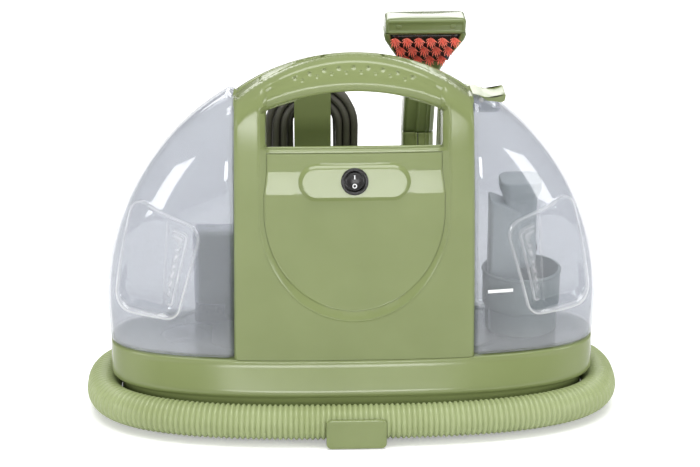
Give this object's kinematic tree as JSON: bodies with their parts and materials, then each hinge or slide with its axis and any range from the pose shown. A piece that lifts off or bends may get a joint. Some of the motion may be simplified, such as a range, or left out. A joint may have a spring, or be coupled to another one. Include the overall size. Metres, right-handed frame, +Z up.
{
  "type": "portable spot extractor",
  "caption": "Carry-handled carpet and upholstery spot cleaner: two domed lift-off tanks flank a motor housing on a low base ringed by a ribbed suction hose.",
  "frame": {"origin": "centre of the footprint on the floor, under the feet", "axes": "+X towards the dirty-water tank, +Y towards the rear where the cord and wand are stowed, +Z up"},
  "size_m": [0.4426, 0.2086, 0.316],
  "materials": {
    "green": "moulded, satin",
    "hose": "ribbed, soft sheen",
    "dark_green": "moulded, satin",
    "smoke": "clear, smoke tinted",
    "clear_tube": "clear",
    "grey_clear": "translucent",
    "black": "moulded",
    "rubber": "matte",
    "cord": "smooth vinyl",
    "steel": "plain",
    "motor": "plain",
    "coral": "soft bristle and float plastic"
  },
  "bodies": {
    "base": {"base_tray": "green", "base_plate": "dark_green", "rubber_feet": "rubber", "base_screws": "steel", "hose_clips": "green", "front_housing": "green", "front_panel": "green", "rear_housing": "green", "housing_screws": "steel", "switch_bezel": "black", "switch_body": "black", "motor_housing": "motor", "motor_mount": "black", "fan_shroud": "black", "suction_duct": "black", "pump_body": "black", "water_tube": "clear_tube", "spray_line": "clear_tube", "inlet_pipe": "dark_green", "tank_seal": "rubber", "tank_socket": "dark_green", "cord_post": "green", "wand_cradle": "green", "hose_elbow": "dark_green", "hose": "hose", "strain_relief": "cord", "cord_lead": "cord", "cord_hank": "cord", "cord_tail": "cord", "plug_body": "cord", "plug_blades": "steel"},
    "rotor": {"motor_shaft": "steel", "fan_impeller": "motor"},
    "rocker": {"switch_rocker": "black"},
    "plunger": {"pump_plunger": "steel"},
    "clean": {"clean_tank": "smoke"},
    "cap": {"tank_cap": "dark_green", "cap_seal": "rubber"},
    "valve": {"valve_poppet": "rubber"},
    "dirty": {"dirty_tank": "smoke", "separator_cup": "grey_clear", "riser_duct": "grey_clear", "latch_pin": "steel"},
    "float": {"float": "coral"},
    "drain": {"drain_plug": "black"},
    "latch": {"tank_latch": "green"},
    "hook": {"cord_hook": "green"},
    "wand": {"wand_shell_left": "green", "wand_shell_right": "green", "wand_cuff": "dark_green", "suction_tube": "clear_tube", "spray_valve": "black", "trigger_pin": "steel"},
    "trigger": {"trigger": "dark_green"},
    "tool": {"tool_body": "dark_green", "suction_lip": "dark_green", "brush_plate": "black", "bristle_tufts": "coral"}
  },
  "joints": [
    {"name": "rotor_spin", "type": "hinge", "parent": "base", "child": "rotor", "pos_m": [0, -0.008, 0.12], "axis": [0, 0, 1], "continuous": true},
    {"name": "switch_rock", "type": "hinge", "parent": "base", "child": "rocker", "pos_m": [0, -0.05988, 0.21524], "axis": [-1, 0, 0], "range_deg": [0, 16]},
    {"name": "plunger_slide", "type": "slide", "parent": "base", "child": "plunger", "axis": [0, 0, 1], "range_m": [0, 0.003]},
    {"name": "clean_tank_lift", "type": "slide", "parent": "base", "child": "clean", "axis": [0, 0, 1], "range_m": [0, 0.08]},
    {"name": "cap_turn", "type": "hinge", "parent": "clean", "child": "cap", "pos_m": [-0.14, 0, 0.055], "axis": [0, 0, 1], "range_deg": [0, 180]},
    {"name": "valve_slide", "type": "slide", "parent": "cap", "child": "valve", "axis": [0, 0, 1], "range_m": [0, 0.004], "stiffness_N_per_m": 200},
    {"name": "dirty_tank_lift", "type": "slide", "parent": "base", "child": "dirty", "axis": [0, 0, 1], "range_m": [0, 0.08]},
    {"name": "float_rise", "type": "slide", "parent": "dirty", "child": "float", "axis": [0, 0, 1], "range_m": [0, 0.022]},
    {"name": "drain_pull", "type": "slide", "parent": "dirty", "child": "drain", "axis": [0, 1, 0], "range_m": [0, 0.01]},
    {"name": "latch_press", "type": "hinge", "parent": "dirty", "child": "latch", "pos_m": [0.104, 0, 0.268], "axis": [0, 1, 0], "range_deg": [0, 12], "stiffness_Nm_per_rad": 0.2, "springref_deg": -5.73},
    {"name": "hook_turn", "type": "hinge", "parent": "base", "child": "hook", "pos_m": [-0.031, 0.05, 0.1], "axis": [0, 1, 0], "range_deg": [0, 180]},
    {"name": "wand_lift", "type": "slide", "parent": "base", "child": "wand", "axis": [0, 0, 1], "range_m": [0, 0.04]},
    {"name": "trigger_press", "type": "hinge", "parent": "wand", "child": "trigger", "pos_m": [0.06, 0.0735, 0.192], "axis": [1, 0, 0], "range_deg": [0, 10], "stiffness_Nm_per_rad": 0.2, "springref_deg": -5.73},
    {"name": "tool_pull", "type": "slide", "parent": "wand", "child": "tool", "axis": [0, 0, 1], "range_m": [0, 0.03]}
  ]
}
